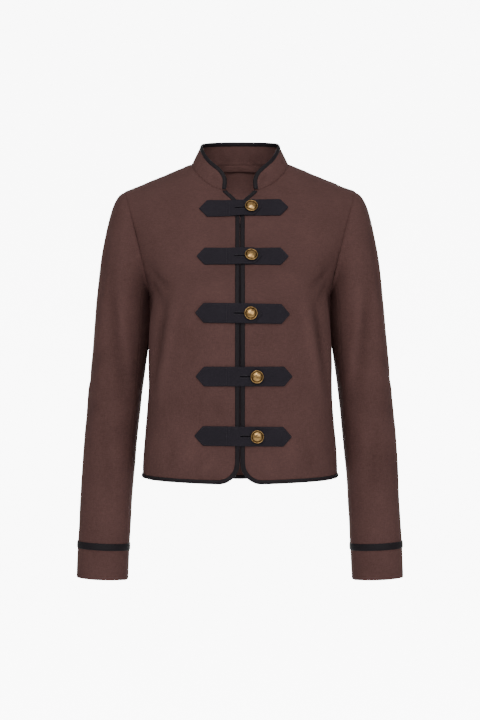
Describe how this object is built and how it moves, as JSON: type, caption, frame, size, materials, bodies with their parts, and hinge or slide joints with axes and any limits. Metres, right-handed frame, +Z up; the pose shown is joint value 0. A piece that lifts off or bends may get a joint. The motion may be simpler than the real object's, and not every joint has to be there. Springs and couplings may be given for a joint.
{
  "type": "military jacket",
  "caption": "Cropped fitted jacket with a stand collar, long set-in sleeves, bound edges, rounded front hem corners and pointed tabs that button across the open front.",
  "frame": {"origin": "the middle of the neck hole at the height of the neck ends of the shoulder seams, where the wearer's shoulders carry the jacket", "axes": "+Z up, the front faces -Y, +X is the wearer's left"},
  "size_m": [0.5344, 0.271, 0.7211],
  "materials": {
    "cloth": "soft brushed wool-like weave, dark red-brown",
    "trim": "close ribbed braid, near black",
    "brass": "antiqued, satin, darker in the hollows"
  },
  "bodies": {
    "root": {"front_left": "cloth", "front_right": "cloth", "back": "cloth", "collar": "cloth", "neck_tape": "cloth", "sleeve_upper_left": "cloth", "sleeve_upper_right": "cloth", "sleeve_under_left": "cloth", "sleeve_under_right": "cloth", "front_binding_left": "trim", "front_binding_right": "trim", "back_hem_binding": "trim", "collar_binding": "trim", "cuff_band_left": "trim", "cuff_band_right": "trim", "tab_right_1": "trim", "tab_right_2": "trim", "tab_right_3": "trim", "tab_right_4": "trim", "tab_right_5": "trim", "tab_left_1": "trim", "tab_left_2": "trim", "tab_left_3": "trim", "tab_left_4": "trim", "tab_left_5": "trim", "button_1": "brass", "button_2": "brass", "button_3": "brass", "button_4": "brass", "button_5": "brass"}
  },
  "joints": []
}
